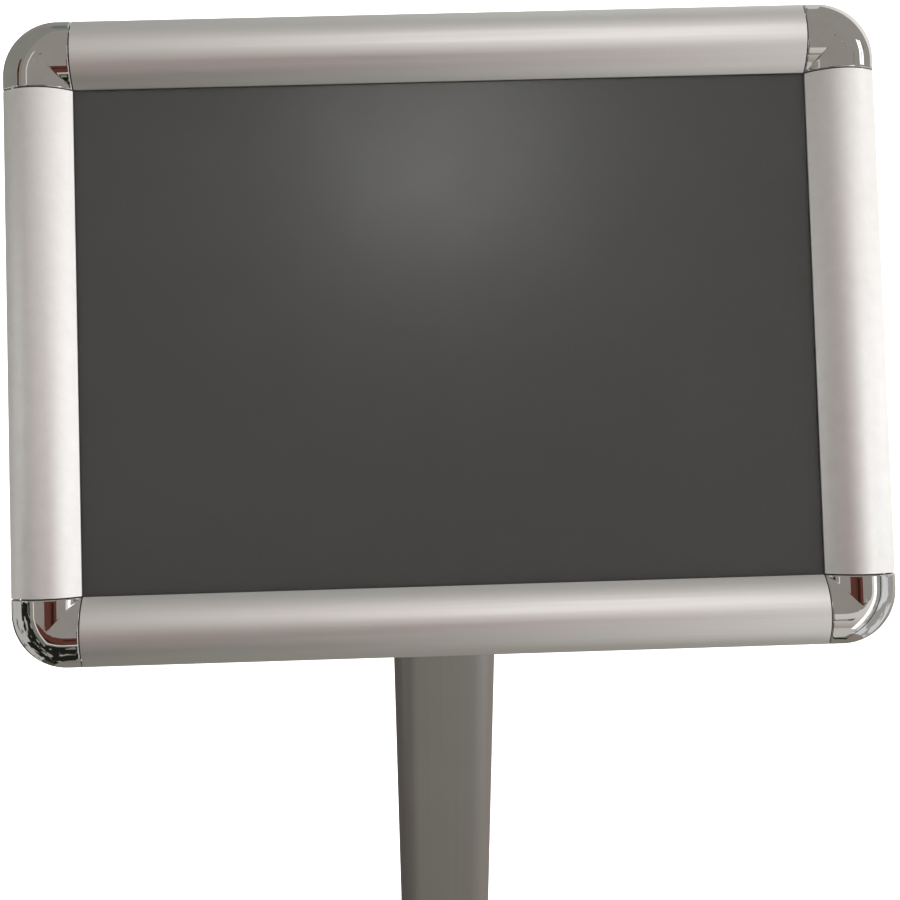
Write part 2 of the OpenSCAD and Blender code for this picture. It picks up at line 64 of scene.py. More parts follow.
def sign_box(*names):
    """Lowest and highest corner of CAD nodes along the sign's own directions."""
    to_sign = SIGN.transposed()
    points = [to_sign @ v.co for name in names for v in nodes[name].data.vertices]
    return Vector(map(min, zip(*points))), Vector(map(max, zip(*points)))


sign_low, sign_high = sign_box(*[f"corner_cap_{corner}" for corner in CORNERS])
sign_centre = (sign_low + sign_high) / 2
BACK = sign_low.z
# Middle of the sign on the rails' back plane, along the sign's directions and in the scene
SIGN_MIDDLE = Vector((sign_centre.x, sign_centre.y, BACK))
SIGN_PLACE = SIGN @ SIGN_MIDDLE


def fractions(count):
    """Count + 1 numbers from 0 to 1."""
    return [i / count for i in range(count + 1)]


def new_piece(name, mesh):
    """A new object in the scene with that bmesh, which is freed."""
    data = bpy.data.meshes.new(name)
    mesh.to_mesh(data)
    mesh.free()
    piece = bpy.data.objects.new(name, data)
    bpy.context.scene.collection.objects.link(piece)
    return piece


def shade_smooth(piece):
    for face in piece.data.polygons:
        face.use_smooth = True


# ---------------------------------------------------------------- materials


class Finish:
    """A Principled material with procedural detail. Lengths are in metres along the scene's axes,
    or along the sign's own directions if in_sign is set."""

    def __init__(self, name, color, roughness, metallic=0.0, in_sign=False, **sockets):
        self.material = bpy.data.materials.new(name)
        self.material.use_nodes = True
        self.tree = self.material.node_tree
        self.shader = self.tree.nodes["Principled BSDF"]
        self.shader.inputs["Base Color"].default_value = (*color, 1)
        self.shader.inputs["Roughness"].default_value = roughness
        self.shader.inputs["Metallic"].default_value = metallic
        for socket, value in sockets.items():
            self.shader.inputs[socket.replace("_", " ")].default_value = value
        self.normal = None
        self.turn = (-SIGN_TILT, 0, 0) if in_sign else (0, 0, 0)

    def add(self, kind, **settings):
        node = self.tree.nodes.new(kind)
        for key, value in settings.items():
            setattr(node, key, value)
        return node

    def link(self, source, target):
        self.tree.links.new(source, target)

    def coordinates(self, scale):
        """The place on the object, stretched by scale along each axis."""
        place = self.add("ShaderNodeTexCoord")
        turned = self.add("ShaderNodeMapping")
        turned.inputs["Rotation"].default_value = self.turn
        scaled = self.add("ShaderNodeVectorMath", operation="MULTIPLY")
        scaled.inputs[1].default_value = scale
        self.link(place.outputs["Object"], turned.inputs["Vector"])
        self.link(turned.outputs["Vector"], scaled.inputs[0])
        return scaled.outputs["Vector"]

    def noise(self, size, detail=3.0, rough=0.55):
        """Noise whose features are about size metres; size is a number or one for each axis."""
        sizes = size if hasattr(size, "__len__") else (size, size, size)
        node = self.add("ShaderNodeTexNoise")
        node.inputs["Scale"].default_value = 1.0
        node.inputs["Detail"].default_value = detail
        node.inputs["Roughness"].default_value = rough
        self.link(self.coordinates([1 / s for s in sizes]), node.inputs["Vector"])
        return node.outputs["Fac"]

    def cells(self, size):
        node = self.add("ShaderNodeTexVoronoi")
        node.inputs["Scale"].default_value = 1.0
        self.link(self.coordinates([1 / size] * 3), node.inputs["Vector"])
        return node.outputs["Distance"]

    def spread(self, source, low, high, start=0.3, end=0.7):
        """Maps source from start..end to low..high."""
        node = self.add("ShaderNodeMapRange")
        limits = {"From Min": start, "From Max": end, "To Min": low, "To Max": high}
        for key, value in limits.items():
            node.inputs[key].default_value = value
        self.link(source, node.inputs["Value"])
        return node.outputs["Result"]

    def base(self):
        """What feeds the base colour so far."""
        socket = self.shader.inputs["Base Color"]
        if socket.links:
            return socket.links[0].from_socket
        node = self.add("ShaderNodeRGB")
        node.outputs[0].default_value = socket.default_value
        return node.outputs[0]

    def tint(self, factor, color):
        """Mixes color over the base colour by factor."""
        mix = self.add("ShaderNodeMix", data_type="RGBA")
        self.link(factor, mix.inputs["Factor"])
        self.link(self.base(), mix.inputs["A"])
        mix.inputs["B"].default_value = (*color, 1)
        self.link(mix.outputs["Result"], self.shader.inputs["Base Color"])
        return self

    def shade(self, source, low, high, start=0.3, end=0.7):
        """Multiplies the base colour by low..high as source goes from start to end."""
        scale = self.add("ShaderNodeVectorMath", operation="SCALE")
        self.link(self.base(), scale.inputs[0])
        self.link(self.spread(source, low, high, start, end), scale.inputs["Scale"])
        self.link(scale.outputs["Vector"], self.shader.inputs["Base Color"])
        return self

    def gloss(self, source, low, high, start=0.3, end=0.7):
        """Roughness from low to high as source goes from start to end."""
        self.link(self.spread(source, low, high, start, end), self.shader.inputs["Roughness"])
        return self

    def relief(self, source, height, strength=1.0):
        """Bump of that height in metres."""
        bump = self.add("ShaderNodeBump")
        bump.inputs["Strength"].default_value = strength
        bump.inputs["Distance"].default_value = height
        self.link(source, bump.inputs["Height"])
        if self.normal:
            self.link(self.normal, bump.inputs["Normal"])
        self.normal = bump.outputs["Normal"]
        self.link(self.normal, self.shader.inputs["Normal"])
        return self

    def worn_edges(self, radius, color, amount=0.6):
        """Mixes color over outer edges of about that radius, by up to amount and broken up by
        noise. The more an edge turns, the less the two normals agree."""
        rounded = self.add("ShaderNodeBevel")
        rounded.samples = 4
        rounded.inputs["Radius"].default_value = radius
        plain = self.add("ShaderNodeNewGeometry")
        dot = self.add("ShaderNodeVectorMath", operation="DOT_PRODUCT")
        self.link(rounded.outputs["Normal"], dot.inputs[0])
        self.link(plain.outputs["Normal"], dot.inputs[1])
        edge = self.spread(dot.outputs["Value"], amount, 0.0, start=0.75, end=0.97)
        broken = self.spread(self.noise(3 * MM, 4), 0.2, 1.0)
        both = self.add("ShaderNodeMath", operation="MULTIPLY")
        self.link(edge, both.inputs[0])
        self.link(broken, both.inputs[1])
        return self.tint(both.outputs["Value"], color)


def satin_aluminium(name, grain, in_sign, painted_shade_scale=1.0):
    """Anodised extrusion: a fine matt etch with faint draw lines along grain, which holds 1 for
    the axis that they run along. The last argument multiplies the base colour: below 1 it is painted shade."""
    color = [painted_shade_scale * channel for channel in (0.80, 0.785, 0.77)]
    finish = Finish(name, color, 0.42, metallic=1.0, in_sign=in_sign)
    lines = finish.noise([600 * MM if g else 0.35 * MM for g in grain], 4, 0.6)
    broad = finish.noise([900 * MM if g else 5 * MM for g in grain], 2)
    etch = finish.noise(0.12 * MM, 2)
    handling = finish.noise(45 * MM, 3)
    finish.shade(lines, 0.965, 1.02)
    finish.shade(broad, 0.97, 1.01)
    finish.tint(finish.spread(handling, 0.0, 0.12, 0.5, 0.75), (0.66, 0.63, 0.60))
    finish.gloss(finish.noise([120 * MM if g else 1.2 * MM for g in grain], 4), 0.40, 0.47)
    finish.relief(etch, 0.006 * MM, 0.5)
    finish.relief(lines, 0.004 * MM, 0.5)
    return finish.material


def cast_aluminium():
    """Tumbled die casting: grainy skin with a patchy tone, lighter where its edges are rubbed."""
    finish = Finish("cast_aluminium", (0.60, 0.60, 0.60), 0.45, metallic=1.0)
    finish.shade(finish.noise(9 * MM, 4), 0.86, 1.05)
    finish.gloss(finish.noise(2 * MM, 3), 0.38, 0.55)
    finish.relief(finish.cells(0.8 * MM), 0.04 * MM, 0.5)
    finish.worn_edges(1.0 * MM, (0.82, 0.82, 0.82), 0.5)
    return finish.material


def chrome_plate():
    """Bright plating on a moulded part: slight waviness, haze and fine wiping scratches."""
    finish = Finish("chrome_plate", (0.57, 0.56, 0.54), 0.04, metallic=1.0, in_sign=True)
    haze = finish.noise(7 * MM, 4)
    wiped = finish.noise([9 * MM, 0.18 * MM, 9 * MM], 3)
    finish.shade(haze, 0.95, 1.02)
    finish.gloss(wiped, 0.03, 0.08, 0.5, 0.85)
    finish.relief(finish.noise(4 * MM, 2), 0.02 * MM, 0.6)
    return finish.material


def powder_coat():
    """Silver-grey powder coat: fine orange peel and a mica sparkle."""
    finish = Finish("powder_coat", (0.50, 0.50, 0.495), 0.42, metallic=0.55)
    finish.shade(finish.noise(0.5 * MM, 2), 0.90, 1.10)
    finish.shade(finish.noise(60 * MM, 3), 0.96, 1.03)
    finish.gloss(finish.noise(12 * MM, 4), 0.36, 0.5)
    finish.relief(finish.noise(1.1 * MM, 2), 0.05 * MM, 0.5)
    finish.worn_edges(1.2 * MM, (0.72, 0.72, 0.72), 0.35)
    return finish.material


def black_steel():
    """Matt black powder coat on pressed steel, rubbed thin along its edges."""
    finish = Finish("black_steel", (0.035, 0.035, 0.038), 0.5)
    finish.shade(finish.noise(25 * MM, 3), 0.8, 1.3)
    finish.gloss(finish.noise(4 * MM, 4), 0.42, 0.62)
    finish.relief(finish.noise(0.7 * MM, 2), 0.05 * MM, 0.5)
    finish.worn_edges(0.8 * MM, (0.16, 0.155, 0.15), 0.6)
    return finish.material


def zinc_steel():
    """Bright zinc plate with its faint warm and blue bloom."""
    finish = Finish("zinc_steel", (0.64, 0.65, 0.67), 0.30, metallic=1.0)
    finish.tint(finish.spread(finish.noise(6 * MM, 3), 0.0, 0.5), (0.66, 0.62, 0.50))
    finish.tint(finish.spread(finish.noise(4 * MM, 3), 0.0, 0.4, 0.5, 0.8), (0.48, 0.56, 0.68))
    finish.gloss(finish.noise(1.2 * MM, 4), 0.22, 0.42)
    finish.relief(finish.noise(0.4 * MM, 3), 0.01 * MM, 0.6)
    return finish.material


def spring_steel():
    """Blued strip, brushed along its length."""
    finish = Finish("spring_steel", (0.34, 0.35, 0.39), 0.33, metallic=1.0, in_sign=True)
    finish.shade(finish.noise([20 * MM, 0.3 * MM, 4 * MM], 4), 0.8, 1.15)
    finish.tint(finish.spread(finish.noise(8 * MM, 3), 0.0, 0.5), (0.36, 0.30, 0.27))
    finish.gloss(finish.noise(3 * MM, 3), 0.27, 0.42)
    return finish.material


def black_nylon():
    """Moulded glass-filled nylon: spark texture and faint grey flow marks."""
    finish = Finish("black_nylon", (0.028, 0.028, 0.030), 0.48)
    finish.shade(finish.noise(14 * MM, 4), 0.8, 1.5)
    finish.gloss(finish.noise(2.5 * MM, 4), 0.4, 0.6)
    finish.relief(finish.cells(0.45 * MM), 0.03 * MM, 0.5)
    finish.worn_edges(0.7 * MM, (0.10, 0.10, 0.10), 0.4)
    return finish.material


def brass():
    """Turned brass: tool rings and a little tarnish."""
    finish = Finish("brass", (0.78, 0.58, 0.26), 0.25, metallic=1.0)
    finish.tint(finish.spread(finish.noise(3 * MM, 4), 0.0, 0.45), (0.45, 0.30, 0.13))
    finish.gloss(finish.noise([0.25 * MM, 6 * MM, 6 * MM], 3), 0.18, 0.38)
    return finish.material


def rubber():
    """Matt black rubber with mould dust in its texture."""
    finish = Finish("rubber", (0.022, 0.022, 0.022), 0.8)
    finish.tint(finish.spread(finish.noise(5 * MM, 5), 0.0, 0.35, 0.45, 0.75), (0.10, 0.095, 0.09))
    finish.gloss(finish.noise(2 * MM, 3), 0.7, 0.9)
    finish.relief(finish.noise(0.6 * MM, 3), 0.05 * MM, 0.6)
    return finish.material


def panel_grey():
    """Dark grey backing sheet, finely grained, with a few dust specks."""
    finish = Finish("panel_grey", (0.022, 0.0208, 0.018), 0.55, in_sign=True)
    finish.shade(finish.noise(4 * MM, 3), 0.97, 1.03)
    finish.shade(finish.noise([60 * MM, 0.8 * MM, 9 * MM], 3), 0.97, 1.04)
    finish.shade(finish.noise(70 * MM, 3), 0.96, 1.05)
    specks = finish.cells(11 * MM)
    finish.tint(finish.spread(specks, 0.07, 0.0, 0.012, 0.022), (0.35, 0.34, 0.32))
    finish.gloss(finish.noise(18 * MM, 4), 0.5, 0.6)
    finish.relief(finish.noise(25 * MM, 3), 0.03 * MM, 0.4)
    return finish.material


def matt_clear():
    """Anti-glare cover sheet: clear, with a fine matt face that blurs what it mirrors."""
    finish = Finish("matt_clear", (0.06, 0.06, 0.058), 0.25, in_sign=True, Alpha=0.25)
    finish.gloss(finish.noise(25 * MM, 4), 0.24, 0.27)
    finish.relief(finish.noise(40 * MM, 2), 0.02 * MM, 0.3)
    return finish.material


ALONG_X, ALONG_UP = (1, 0, 0), (0, 0, 1)
FINISHES = {
    "cast_aluminium": cast_aluminium(),
    "chrome_plate": chrome_plate(),
    "powder_coat": powder_coat(),
    "black_steel": black_steel(),
    "zinc_steel": zinc_steel(),
    "spring_steel": spring_steel(),
    "black_nylon": black_nylon(),
    "brass": brass(),
    "rubber": rubber(),
    "panel_grey": panel_grey(),
    "matt_clear": matt_clear(),
}
SATIN = {
    "level": satin_aluminium("satin_aluminium_level", ALONG_X, True),
    "upright": satin_aluminium("satin_aluminium_upright", ALONG_UP, True),
    # The post's copy is darkened to 0.64 as painted shade: it stands in for the post looking darker than the
    # covers from how light falls on it.
    "post": satin_aluminium("satin_aluminium_post_painted_shade", ALONG_UP, False, 0.64),
}


def set_material(piece, material):
    piece.data.materials.clear()
    piece.data.materials.append(material)
    for face in piece.data.polygons:
        face.material_index = 0


def satin_for(name):
    """The satin aluminium whose grain runs along the node of that name."""
    if name == "post":
        return SATIN["post"]
    return SATIN["upright" if name.endswith(("left", "right")) else "level"]


SLOT_OF = {part["node"]: part["material_slot"] for part in frame["record"]["subparts"]}


# ---------------------------------------------------------------- edges of the CAD nodes

WELD_DISTANCE = 0.002 * MM
CREASE_ANGLE = math.radians(32)  # flatter edges are smoothed over
BEVEL_ANGLE = math.radians(40)  # sharper edges are rounded
EDGE_RADII = {  # millimetres
    "base_plate": 0.9,
    "foot_collar": 0.7,
    "post": 0.35,
    "post_head": 0.6,
}


def smooth_group(angle):
    """Geometry nodes that weld a mesh and smooth it across edges flatter than angle."""
    group = bpy.data.node_groups.new("weld_and_smooth", "GeometryNodeTree")
    for direction in ("INPUT", "OUTPUT"):
        group.interface.new_socket("Geometry", in_out=direction, socket_type="NodeSocketGeometry")
    add, link = group.nodes.new, group.links.new
    start, end = add("NodeGroupInput"), add("NodeGroupOutput")
    weld = add("GeometryNodeMergeByDistance")
    weld.inputs["Distance"].default_value = WELD_DISTANCE
    edge = add("GeometryNodeInputMeshEdgeAngle")
    flat = add("FunctionNodeCompare")
    flat.operation = "LESS_THAN"
    flat.inputs[1].default_value = angle
    faces = add("GeometryNodeSetShadeSmooth")
    edges = add("GeometryNodeSetShadeSmooth")
    edges.domain = "EDGE"
    link(start.outputs[0], weld.inputs["Geometry"])
    link(weld.outputs["Geometry"], faces.inputs["Geometry"])
    link(faces.outputs["Geometry"], edges.inputs["Geometry"])
    link(edge.outputs["Unsigned Angle"], flat.inputs[0])
    link(flat.outputs["Result"], edges.inputs["Shade Smooth"])
    link(edges.outputs["Geometry"], end.inputs[0])
    return group


SMOOTH = smooth_group(CREASE_ANGLE)


def round_edges(piece, radius):
    """Smooths a CAD node and rounds its sharp edges, with the radius in millimetres."""
    stored_normals = piece.data.attributes.get("custom_normal")
    if stored_normals:
        piece.data.attributes.remove(stored_normals)
    weld = piece.modifiers.new("weld_and_smooth", "NODES")
    weld.node_group = SMOOTH
    bevel = piece.modifiers.new("edges", "BEVEL")
    bevel.width = radius * MM
    bevel.segments = 3
    bevel.limit_method = "ANGLE"
    bevel.angle_limit = BEVEL_ANGLE
    bevel.harden_normals = True
    bevel.use_clamp_overlap = True


# ---------------------------------------------------------------- corner caps

CAP = {  # millimetres
    "corner_r": 20.5,  # round of the corner, seen from the front
    "edge_h": 6.0,  # height of the arch's outer edge over the rails' back
    "lip_h": 4.4,  # height of its inner edge
    "rise": 4.8,  # of the arch over the chord between those edges
    "wall": 1.3,
    "rim_r": 0.55,  # round of the edges next to the covers
    "mitre_r": 0.35,  # round of the crease along the mitre
}
CAP_CREASE_ANGLE = math.radians(30)
# Steps of the cap's mesh
ARCH_STEPS = 22  # from the outer edge to the crest
CORNER_STEPS = 40  # round the corner
INNER_STEPS = 24  # from the crest to the mitre
SHORT_STEPS = 6  # along the straight ends, over their rim, and down the outer wall


class Arch:
    """The arch across the frame: an arc from the outer edge to the inner one.
    d is the distance in from the outer edge and the result is the height, in millimetres."""

    def __init__(self, width, edge_h, lip_h, rise):
        chord = Vector((width, lip_h - edge_h))
        self.radius = chord.length_squared / (8 * rise) + rise / 2
        up = Vector((-chord.y, chord.x)).normalized()
        self.centre = Vector((0, edge_h)) + chord / 2 + up * (rise - self.radius)

    def height(self, d):
        return self.centre.y + math.sqrt(self.radius**2 - (d - self.centre.x) ** 2)

    @property
    def crest(self):
        return self.centre.x


def smooth_min_corner(a, b, blend):
    """The smaller of a and b, with the crease between them rounded over blend."""
    return min(a, b) - max(blend - abs(a - b), 0) ** 2 / (4 * blend)


def cap_point(a, b, width, arch, corner_r):
    """Height of the cap's top at distances a and b from the two outer edges, in millimetres."""
    if a < corner_r and b < corner_r:
        outer = corner_r - math.hypot(corner_r - a, corner_r - b)
    else:
        outer = min(a, b)
    if outer < arch.crest:
        return arch.height(max(outer, 0))
    inner = smooth_min_corner(a, b, CAP["mitre_r"])
    return arch.height(max(inner, arch.crest))


def grid(mesh, rows):
    """Quads between rows of vertices; a repeated vertex closes a quad to a triangle."""
    for first, second in zip(rows, rows[1:]):
        for i in range(len(first) - 1):
            ring = []
            for vertex in (first[i], first[i + 1], second[i + 1], second[i]):
                if vertex not in ring:
                    ring.append(vertex)
            if len(ring) > 2:
                mesh.faces.new(ring)


def cap_mesh(width):
    """Shell of the cap over the square corner, as (a, b, height) in millimetres."""
    r, rim = CAP["corner_r"], CAP["rim_r"]
    arch = Arch(width, CAP["edge_h"], CAP["lip_h"], CAP["rise"])
    mesh = bmesh.new()

    def vertex(a, b, drop=0.0, swap=False):
        """A point of the top, let down by drop; swap puts it across the mitre."""
        if swap:
            a, b = b, a
        return mesh.verts.new((a, b, cap_point(a, b, width, arch, r) - drop))

    # Places across the arch, from the outer edge to the crest
    across = [arch.crest * f for f in fractions(ARCH_STEPS)]
    # Places along the straight ends and how far they drop, with the rim rounded over
    ends = [r + (width - rim - r) * f for f in fractions(SHORT_STEPS)]
    over = [math.pi / 2 * f for f in fractions(SHORT_STEPS)][1:]
    rounded = [(width - rim + rim * math.sin(t), rim * (1 - math.cos(t))) for t in over]
    along = [(e, 0.0) for e in ends] + rounded

    def end_rows(swap, stretch):
        return [[vertex(a, b, drop, swap) for b in stretch(a)] for a, drop in along]

    def inner_stretch(a):
        """From the crest to the mitre, or to the cap's inner edge past it."""
        return [arch.crest + (min(a, width) - arch.crest) * f for f in fractions(INNER_STEPS)]

    for swap in (False, True):
        grid(mesh, end_rows(swap, lambda a: across))
        grid(mesh, end_rows(swap, inner_stretch))
    # The turned corner
    steps = fractions(CORNER_STEPS)
    rows = []
    for f in steps:
        angle = math.pi / 2 * f
        rows.append(
            [vertex(r - (r - d) * math.cos(angle), r - (r - d) * math.sin(angle)) for d in across]
        )
    grid(mesh, rows)
    # Between the crest's curve and the mitre
    small = r - arch.crest
    for swap in (False, True):
        rows = []
        for f in steps[len(steps) // 2 :]:
            a = r - small * math.cos(math.pi / 2 * f)
            start = r - small * math.sin(math.pi / 2 * f)
            places = [start + (a - start) * g for g in fractions(INNER_STEPS)]
            rows.append([vertex(a, b, swap=swap) for b in places])
        grid(mesh, rows)
    # Outer wall, from the arch's outer edge down to the rails' back
    round_corner = [math.pi / 2 * f for f in steps[1:-1]]
    outline = [(e, 0.0, drop) for e, drop in reversed(along)]
    outline += [(r - r * math.sin(t), r - r * math.cos(t), 0.0) for t in round_corner]
    outline += [(0.0, e, drop) for e, drop in along]
    edge = arch.height(0)
    wall = []
    for f in fractions(SHORT_STEPS):
        wall.append([mesh.verts.new((a, b, (1 - f) * (edge - drop))) for a, b, drop in outline])
    grid(mesh, wall)
    bmesh.ops.remove_doubles(mesh, verts=mesh.verts, dist=0.003)
    bmesh.ops.dissolve_degenerate(mesh, edges=mesh.edges, dist=0.001)
    bmesh.ops.recalc_face_normals(mesh, faces=mesh.faces)
    return mesh


def cap_shell(corner):
    """The chrome cap of one corner, in place of its CAD node."""
    low, high = sign_box(f"corner_cap_{corner}")
    width = (high.x - low.x) / MM
    mesh = cap_mesh(width)
    across = 1 if "left" in corner else -1
    upward = 1 if "bottom" in corner else -1
    outer = Vector((low.x if across > 0 else high.x, low.y if upward > 0 else high.y, BACK))
    for v in mesh.verts:
        local = outer + Vector((v.co.x * across, v.co.y * upward, v.co.z)) * MM
        v.co = SIGN @ local
    bmesh.ops.recalc_face_normals(mesh, faces=mesh.faces)
    if sum(f.normal.dot(OUT) * f.calc_area() for f in mesh.faces) < 0:
        bmesh.ops.reverse_faces(mesh, faces=mesh.faces)
    shell = new_piece(f"cap_shell_{corner}", mesh)
    shade_smooth(shell)
    shell.data.set_sharp_from_angle(angle=CAP_CREASE_ANGLE)
    thick = shell.modifiers.new("wall", "SOLIDIFY")
    thick.thickness = CAP["wall"] * MM
    thick.offset = -1
    thick.use_even_offset = True
    set_material(shell, FINISHES["chrome_plate"])
    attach(shell, "sign_frame")
    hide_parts(f"corner_cap_{corner}")


for corner in CORNERS:
    cap_shell(corner)

for name, piece in nodes.items():
    slot = SLOT_OF.get(name)
    material = satin_for(name) if slot == "satin_aluminium" else FINISHES.get(slot)
    if material is None:
        raise RuntimeError(f"no finish for {name}: slot {slot}")
    set_material(piece, material)
    if name in EDGE_RADII:
        round_edges(piece, EDGE_RADII[name])


# ---------------------------------------------------------------- stage


def sweep():
    """Pale floor that curves up into a backdrop, all round the stand."""
    flat, bend, top, steps = 3.2, 1.2, 6.0, 64
    rise = [math.pi / 2 * f for f in fractions(16)][1:]
    profile = [(flat, 0)]
    profile += [(flat + bend * math.sin(t), bend * (1 - math.cos(t))) for t in rise]
    profile += [(flat + bend, top)]
    mesh = bmesh.new()
    rings = []
    turns = [2 * math.pi * k / steps for k in range(steps)]
    for x, z in profile:
        rings.append([mesh.verts.new((x * math.cos(t), x * math.sin(t), z)) for t in turns])
    mesh.faces.new(rings[0])
    for inner, outer in zip(rings, rings[1:]):
        for k in range(steps):
            mesh.faces.new((inner[k], outer[k], outer[(k + 1) % steps], inner[(k + 1) % steps]))
    bmesh.ops.recalc_face_normals(mesh, faces=mesh.faces)
    floor = new_piece("sweep", mesh)
    shade_smooth(floor)
    paint = Finish("floor_paint", (0.93, 0.93, 0.925), 0.7)
    paint.shade(paint.noise(0.9, 3), 0.985, 1.0)
    paint.shader.inputs["Emission Color"].default_value = (1, 1, 1, 1)
    paint.shader.inputs["Emission Strength"].default_value = 0.55
    set_material(floor, paint.material)
    floor.visible_glossy = False


def from_sign(rightward, upward, distance):
    """A place in front of the sign, at angles in degrees rightward and upward of its normal."""
    a, b = math.radians(rightward), math.radians(upward)
    aim = Vector((math.sin(a) * math.cos(b), math.sin(b), math.cos(a) * math.cos(b)))
    return SIGN_PLACE + SIGN @ (aim * distance)


def card(distance, name, rightward, upward, color, strength, mottle=None):
    """Something for the chrome to mirror, spanning angles rightward and upward of the sign's
    normal. It gives no light and casts no shadow. mottle is (second colour, size, share), for
    patches of the second colour over that share of the card."""
    mesh = bmesh.new()
    steps = 12
    rows = []
    for f in fractions(steps):
        up = upward[0] + (upward[1] - upward[0]) * f
        across = [rightward[0] + (rightward[1] - rightward[0]) * g for g in fractions(steps)]
        rows.append([mesh.verts.new(from_sign(a, up, distance)) for a in across])
    grid(mesh, rows)
    piece = new_piece(name, mesh)
    paint = Finish(name, (0, 0, 0), 1.0)
    paint.shader.inputs["Specular IOR Level"].default_value = 0
    paint.shader.inputs["Emission Color"].default_value = (*color, 1)
    paint.shader.inputs["Emission Strength"].default_value = strength
    if mottle:
        second, size, share = mottle
        mix = paint.add("ShaderNodeMix", data_type="RGBA")
        patches = paint.spread(paint.noise(size, 4), 0, 1, 1 - share, 1.03 - share)
        paint.link(patches, mix.inputs["Factor"])
        mix.inputs["A"].default_value = (*color, 1)
        mix.inputs["B"].default_value = (*second, 1)
        paint.link(mix.outputs["Result"], paint.shader.inputs["Emission Color"])
    set_material(piece, paint.material)
    for seen_by in ("camera", "diffuse", "shadow", "transmission", "volume_scatter"):
        setattr(piece, f"visible_{seen_by}", False)


def area_light(name, rightward, upward, size, radiance, lit):
    """A soft light that faces the sign, with size and radiance as seen from there. Only the
    nodes in lit get its light."""
    data = bpy.data.lights.new(name, "AREA")
    data.shape = "RECTANGLE"
    data.size, data.size_y = size
    data.energy = radiance * math.pi * size[0] * size[1]
    light = bpy.data.objects.new(name, data)
    light.location = from_sign(rightward, upward, LIGHT_DISTANCE)
    light.rotation_euler = (SIGN_PLACE - light.location).to_track_quat("-Z", "Y").to_euler()
    bpy.context.scene.collection.objects.link(light)
    light.visible_camera = False
    receivers = bpy.data.collections.new(f"{name}_lit")
    for node in lit:
        receivers.objects.link(nodes[node])
    light.light_linking.receiver_collection = receivers


def studio_world():
    """Even soft light from all round: brighter from the right and from above, and dim and warm
    from below. Mirrors see it through the floor, so they keep their contrast."""
    # Light by the height and by the rightward share of the direction that it comes from
    by_height = [
        (-1.0, (0.155, 0.135, 0.115)),
        (-0.45, (0.185, 0.16, 0.145)),
        (-0.15, (0.31, 0.285, 0.265)),
        (0.1, (0.50, 0.485, 0.47)),
        (0.6, (0.60, 0.585, 0.57)),
        (1.0, (0.44, 0.445, 0.41)),
    ]
    by_side = [(-1.0, 0.55), (-0.35, 0.76), (0.05, 1.05), (0.3, 1.7), (0.6, 2.2), (1.0, 2.4)]
    world = bpy.data.worlds.new("studio")
    world.use_nodes = True
    add, link = world.node_tree.nodes.new, world.node_tree.links.new
    direction = add("ShaderNodeTexCoord")
    parts = add("ShaderNodeSeparateXYZ")
    link(direction.outputs["Generated"], parts.inputs[0])

    def ramp(source, stops, scale):
        """The colour at source, which goes from -1 to 1. Plain numbers are divided by scale."""
        share = add("ShaderNodeMapRange")
        share.inputs["From Min"].default_value = -1
        link(source, share.inputs["Value"])
        node = add("ShaderNodeValToRGB")
        node.color_ramp.interpolation = "B_SPLINE"
        elements = node.color_ramp.elements
        while len(elements) < len(stops):
            elements.new(0.5)  # the place is set below
        for element, (place, color) in zip(elements, stops):
            element.position = (place + 1) / 2
            channels = color if hasattr(color, "__len__") else (color / scale,) * 3
            element.color = (*channels, 1)
        link(share.outputs["Result"], node.inputs["Fac"])
        return node.outputs["Color"]

    brightest = 2.5
    both = add("ShaderNodeMix")
    both.data_type = "RGBA"
    both.blend_type = "MULTIPLY"
    both.inputs["Factor"].default_value = 1
    link(ramp(parts.outputs["Z"], by_height, 1), both.inputs["A"])
    link(ramp(parts.outputs["X"], by_side, brightest), both.inputs["B"])
    background = world.node_tree.nodes["Background"]
    link(both.outputs["Result"], background.inputs["Color"])
    background.inputs["Strength"].default_value = brightest
    bpy.context.scene.world = world


# Metres from the sign; each card is a little nearer than the one before it
LIGHT_DISTANCE = 2.4
FARTHEST_CARD = 2.9
CARD_GAP = 0.02

sweep()
studio_world()

# A soft glow on the panel, washes that grow to the right for the upright covers, and one wash
# for each level cover
SHEETS = ("back_panel", "clear_sheet")
LIGHTS = [
    ("glow", 3, 17, (0.5, 0.4), 16.0, SHEETS),
    ("left_wash_1", -12, 8, (1.4, 2.6), 0.30, ("cover_left",)),
    ("left_wash_2", 22, 8, (1.5, 2.6), 0.62, ("cover_left",)),
    ("left_wash_3", 64, 8, (1.9, 2.6), 0.82, ("cover_left",)),
    ("right_wash_1", 14, 8, (1.3, 2.6), 0.30, ("cover_right",)),
    ("right_wash_2", 44, 8, (1.4, 2.6), 0.56, ("cover_right",)),
    ("right_wash_3", 80, 8, (1.5, 2.6), 0.62, ("cover_right",)),
    ("top_wash", 14, 25, (1.6, 1.5), 1.0, ("cover_top",)),
    ("bottom_wash", 14, 22, (1.6, 1.5), 1.0, ("cover_bottom",)),
]
for spec in LIGHTS:
    area_light(*spec)

